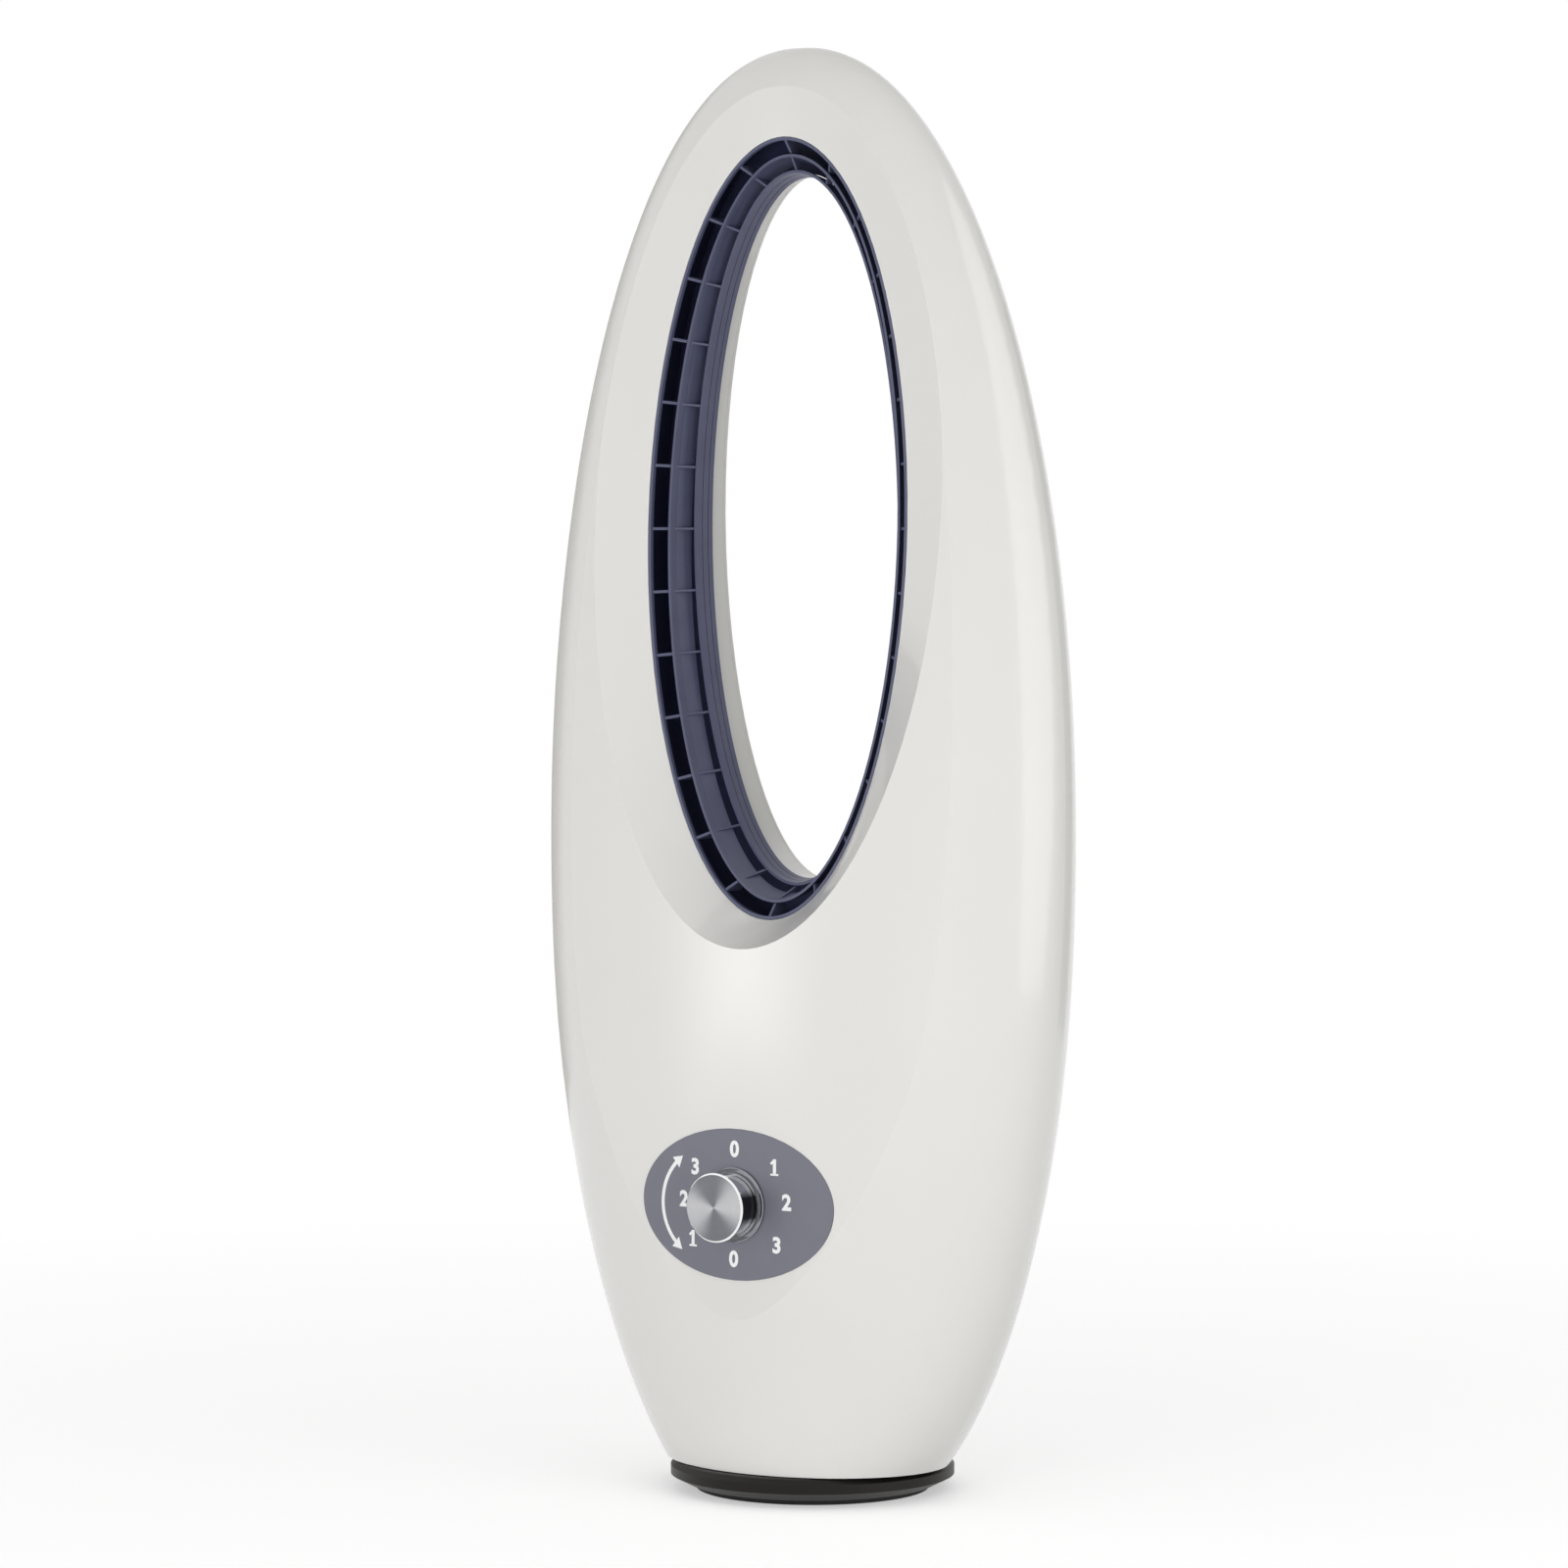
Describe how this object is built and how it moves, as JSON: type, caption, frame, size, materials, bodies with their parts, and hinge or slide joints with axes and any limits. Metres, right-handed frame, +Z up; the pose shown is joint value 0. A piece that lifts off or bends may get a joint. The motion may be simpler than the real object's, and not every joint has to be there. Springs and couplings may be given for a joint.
{
  "type": "bladeless fan",
  "caption": "Loop-shaped fan: air leaves a slot round an oval opening above a hollow body with a control knob, on a round base that lets it swing side to side.",
  "frame": {"origin": "centre of the rubber foot's underside, on the axis about which the body swings", "axes": "+Z up, -Y the way the air leaves (towards the user), +X to the right of someone behind the fan looking along +Y"},
  "size_m": [0.34, 0.1746, 0.7999],
  "materials": {
    "shell": "gloss pearl off-white ABS",
    "grille": "satin dark blue-grey ABS",
    "duct": "matt black polypropylene",
    "panel": "satin mid-grey polycarbonate",
    "knob": "spun-brushed face, polished waist",
    "trim": "polished",
    "base": "satin black-brown ABS",
    "inner_plastic": "moulded grey ABS",
    "rubber": "matt black rubber",
    "steel": "plain steel",
    "zinc": "zinc-plated steel",
    "brass": "plain brass",
    "motor_paint": "dark grey paint",
    "lamination": "stacked steel sheets",
    "filter": "black open foam",
    "impeller_plastic": "moulded natural ABS",
    "capacitor_can": "drawn can",
    "acetal": "natural acetal"
  },
  "bodies": {
    "base": {"rubber_foot": "rubber", "base_plate": "base", "base_cover": "base", "base_screws": "zinc", "ballast": "steel", "cord_gland": "rubber", "pivot_tube": "zinc", "pivot_screws": "zinc", "lower_race": "steel", "fixed_gear": "acetal", "lock_nut": "zinc"},
    "ball_cage": {"ball_cage": "acetal", "bearing_balls": "steel"},
    "head": {"front_shell": "shell", "rear_shell": "shell", "shell_screws": "zinc", "intake_filter": "filter", "outlet_frame": "grille", "guide_blade": "grille", "inner_ring": "grille", "air_duct": "duct", "loop_liner": "shell", "duct_adapter": "rubber", "control_panel": "panel", "knob_collar": "trim", "rotary_switch": "inner_plastic", "switch_nut": "brass", "upper_race": "steel", "thrust_washer": "acetal", "swing_motor": "zinc", "swing_motor_screws": "zinc", "body_floor": "inner_plastic", "floor_screws": "zinc", "blower_stand": "inner_plastic", "motor_pads": "rubber", "motor_end_plate": "zinc", "motor_bolts": "zinc", "motor_can": "motor_paint", "motor_stator": "lamination", "inlet_ring": "inner_plastic", "blower_housing": "inner_plastic", "diffuser": "inner_plastic", "motor_capacitor": "capacitor_can", "terminal_block": "inner_plastic"},
    "impeller": {"impeller": "impeller_plastic", "impeller_nut": "zinc", "motor_rotor": "steel"},
    "knob": {"knob": "knob", "dial_shaft": "steel"},
    "pinion": {"pinion": "acetal", "swing_shaft": "steel"}
  },
  "joints": [
    {"name": "oscillation", "type": "hinge", "parent": "base", "child": "head", "pos_m": [0, 0, 0], "axis": [0, 0, 1], "range_deg": [-35, 35]},
    {"name": "cage_roll", "type": "hinge", "parent": "base", "child": "ball_cage", "pos_m": [0, 0, 0], "axis": [0, 0, 1], "range_deg": [-18.5, 18.5]},
    {"name": "pinion_spin", "type": "hinge", "parent": "head", "child": "pinion", "pos_m": [0.047, 0, 0], "axis": [0, 0, 1], "range_deg": [-205, 205]},
    {"name": "dial", "type": "hinge", "parent": "head", "child": "knob", "pos_m": [0, 0, 0.165], "axis": [0, -1, 0], "continuous": true},
    {"name": "impeller_spin", "type": "hinge", "parent": "head", "child": "impeller", "pos_m": [0, 0, 0], "axis": [0, 0, 1], "continuous": true}
  ],
  "couplings": [
    {"joint": "cage_roll", "follows": "oscillation", "ratio": 0.5},
    {"joint": "pinion_spin", "follows": "oscillation", "ratio": 5.7143}
  ]
}
